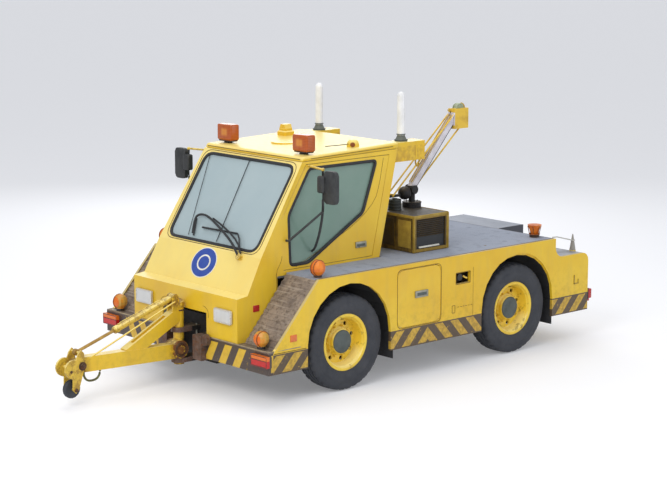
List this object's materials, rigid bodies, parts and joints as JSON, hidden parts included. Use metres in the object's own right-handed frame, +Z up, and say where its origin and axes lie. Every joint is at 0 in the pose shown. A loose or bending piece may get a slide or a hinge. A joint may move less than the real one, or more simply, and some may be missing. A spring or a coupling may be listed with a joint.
{
  "type": "aircraft pushback tractor",
  "caption": "Low four-wheel airport tow tractor with glazed front cab, flat rear deck, swinging nose tow arm, roof lamps and a slewing deck hoist.",
  "frame": {"origin": "on the ground under the middle of the overall box", "axes": "+Z up, -Y is the driving direction, +X is the vehicle's left side"},
  "size_m": [2.92, 6.64, 3.07],
  "materials": {
    "body_yellow": "glossy, faded",
    "deck_grey": "matt, worn",
    "tread_brown": "rough, worn",
    "rubber": "matt",
    "frame_black": "satin",
    "glass": "clear",
    "cushion": "woven",
    "lamp_white": "glossy",
    "amber": "glossy",
    "box_ochre": "satin",
    "hoist_grey": "satin",
    "boom_white": "satin",
    "steel": "polished"
  },
  "bodies": {
    "tractor": {"chassis_frame": "frame_black", "engine_block": "frame_black", "side_panel_left": "body_yellow", "side_panel_right": "body_yellow", "deck_plate": "deck_grey", "ramp_left": "tread_brown", "ramp_right": "tread_brown", "front_bumper": "body_yellow", "tail_body": "body_yellow", "nose": "body_yellow", "cab_shell": "body_yellow", "cab_floor": "frame_black", "roof": "body_yellow", "windscreen": "glass", "rear_window": "glass", "seat_left": "cushion", "seat_right": "cushion", "console": "frame_black", "headlamp_left": "lamp_white", "headlamp_right": "lamp_white", "roof_beacon_left": "amber", "roof_beacon_right": "amber", "tube_lamp_left": "lamp_white", "tube_lamp_right": "lamp_white", "generator_box": "box_ochre", "front_axle": "frame_black", "rear_axle": "frame_black", "mud_flap_left": "rubber", "mud_flap_right": "rubber"},
    "cab_door_left": {"cab_door_left": "body_yellow", "door_glass_left": "glass", "mirror_left": "rubber"},
    "access_door_left": {"access_door_left": "body_yellow"},
    "knuckle_left": {"knuckle_left": "frame_black"},
    "cab_door_right": {"cab_door_right": "body_yellow", "door_glass_right": "glass", "mirror_right": "rubber"},
    "access_door_right": {"access_door_right": "body_yellow"},
    "knuckle_right": {"knuckle_right": "frame_black"},
    "wheel_front_left": {"rim_front_left": "body_yellow", "tyre_front_left": "rubber"},
    "wheel_front_right": {"rim_front_right": "body_yellow", "tyre_front_right": "rubber"},
    "wheel_rear_left": {"rim_rear_left": "body_yellow", "tyre_rear_left": "rubber"},
    "wheel_rear_right": {"rim_rear_right": "body_yellow", "tyre_rear_right": "rubber"},
    "tow_arm": {"tow_arm": "body_yellow"},
    "tow_head": {"tow_head": "body_yellow"},
    "tow_roller": {"tow_roller": "rubber"},
    "tow_cylinder": {"tow_cylinder": "body_yellow"},
    "tow_rod": {"tow_rod": "steel"},
    "hoist": {"hoist_mast": "hoist_grey", "hoist_boom": "boom_white"}
  },
  "joints": [
    {"name": "steer_left", "type": "hinge", "parent": "tractor", "child": "knuckle_left", "pos_m": [1.02, -0.59, 0.525], "axis": [0, 0, 1], "range_deg": [-28, 28]},
    {"name": "spin_front_left", "type": "hinge", "parent": "knuckle_left", "child": "wheel_front_left", "pos_m": [1.263, -0.59, 0.525], "axis": [1, 0, 0], "continuous": true},
    {"name": "spin_rear_left", "type": "hinge", "parent": "tractor", "child": "wheel_rear_left", "pos_m": [1.263, 2.023, 0.525], "axis": [1, 0, 0], "continuous": true},
    {"name": "cab_door_swing_left", "type": "hinge", "parent": "tractor", "child": "cab_door_left", "pos_m": [0.905, -1.0597, 1.3], "axis": [0, 0, -1], "range_deg": [0, 60]},
    {"name": "access_door_swing_left", "type": "hinge", "parent": "tractor", "child": "access_door_left", "pos_m": [1.443, 0.1103, 0.575], "axis": [0, 0, -1], "range_deg": [0, 90]},
    {"name": "steer_right", "type": "hinge", "parent": "tractor", "child": "knuckle_right", "pos_m": [-1.02, -0.59, 0.525], "axis": [0, 0, 1], "range_deg": [-28, 28]},
    {"name": "spin_front_right", "type": "hinge", "parent": "knuckle_right", "child": "wheel_front_right", "pos_m": [-1.263, -0.59, 0.525], "axis": [1, 0, 0], "continuous": true},
    {"name": "spin_rear_right", "type": "hinge", "parent": "tractor", "child": "wheel_rear_right", "pos_m": [-1.263, 2.023, 0.525], "axis": [1, 0, 0], "continuous": true},
    {"name": "cab_door_swing_right", "type": "hinge", "parent": "tractor", "child": "cab_door_right", "pos_m": [-0.905, -1.0597, 1.3], "axis": [0, 0, 1], "range_deg": [0, 60]},
    {"name": "access_door_swing_right", "type": "hinge", "parent": "tractor", "child": "access_door_right", "pos_m": [-1.443, 0.1103, 0.575], "axis": [0, 0, 1], "range_deg": [0, 90]},
    {"name": "tow_arm_swing", "type": "hinge", "parent": "tractor", "child": "tow_arm", "pos_m": [0, -1.79, 0.3123], "axis": [0, 0, 1], "range_deg": [-45, 45]},
    {"name": "tow_head_tilt", "type": "hinge", "parent": "tow_arm", "child": "tow_head", "pos_m": [0, -3.11, 0.44], "axis": [1, 0, 0], "range_deg": [-8, 8]},
    {"name": "tow_roller_spin", "type": "hinge", "parent": "tow_head", "child": "tow_roller", "pos_m": [0, -3.19, 0.195], "axis": [1, 0, 0], "continuous": true},
    {"name": "tow_cylinder_pivot", "type": "hinge", "parent": "tow_arm", "child": "tow_cylinder", "pos_m": [0, -1.865, 0.985], "axis": [1, 0, 0], "range_deg": [-0.206, 0.206]},
    {"name": "tow_rod_slide", "type": "slide", "parent": "tow_cylinder", "child": "tow_rod", "axis": [0, -0.9506, -0.3105], "range_m": [-0.01927, 0.01927]},
    {"name": "hoist_slew", "type": "hinge", "parent": "tractor", "child": "hoist", "pos_m": [0.5, 1.22, 1.7], "axis": [0, 0, 1], "range_deg": [-60, 60]}
  ],
  "couplings": [
    {"joint": "steer_right", "follows": "steer_left", "ratio": 1},
    {"joint": "tow_cylinder_pivot", "follows": "tow_head_tilt", "ratio": -0.024554},
    {"joint": "tow_rod_slide", "follows": "tow_head_tilt", "m_per_rad": 0.13143}
  ]
}
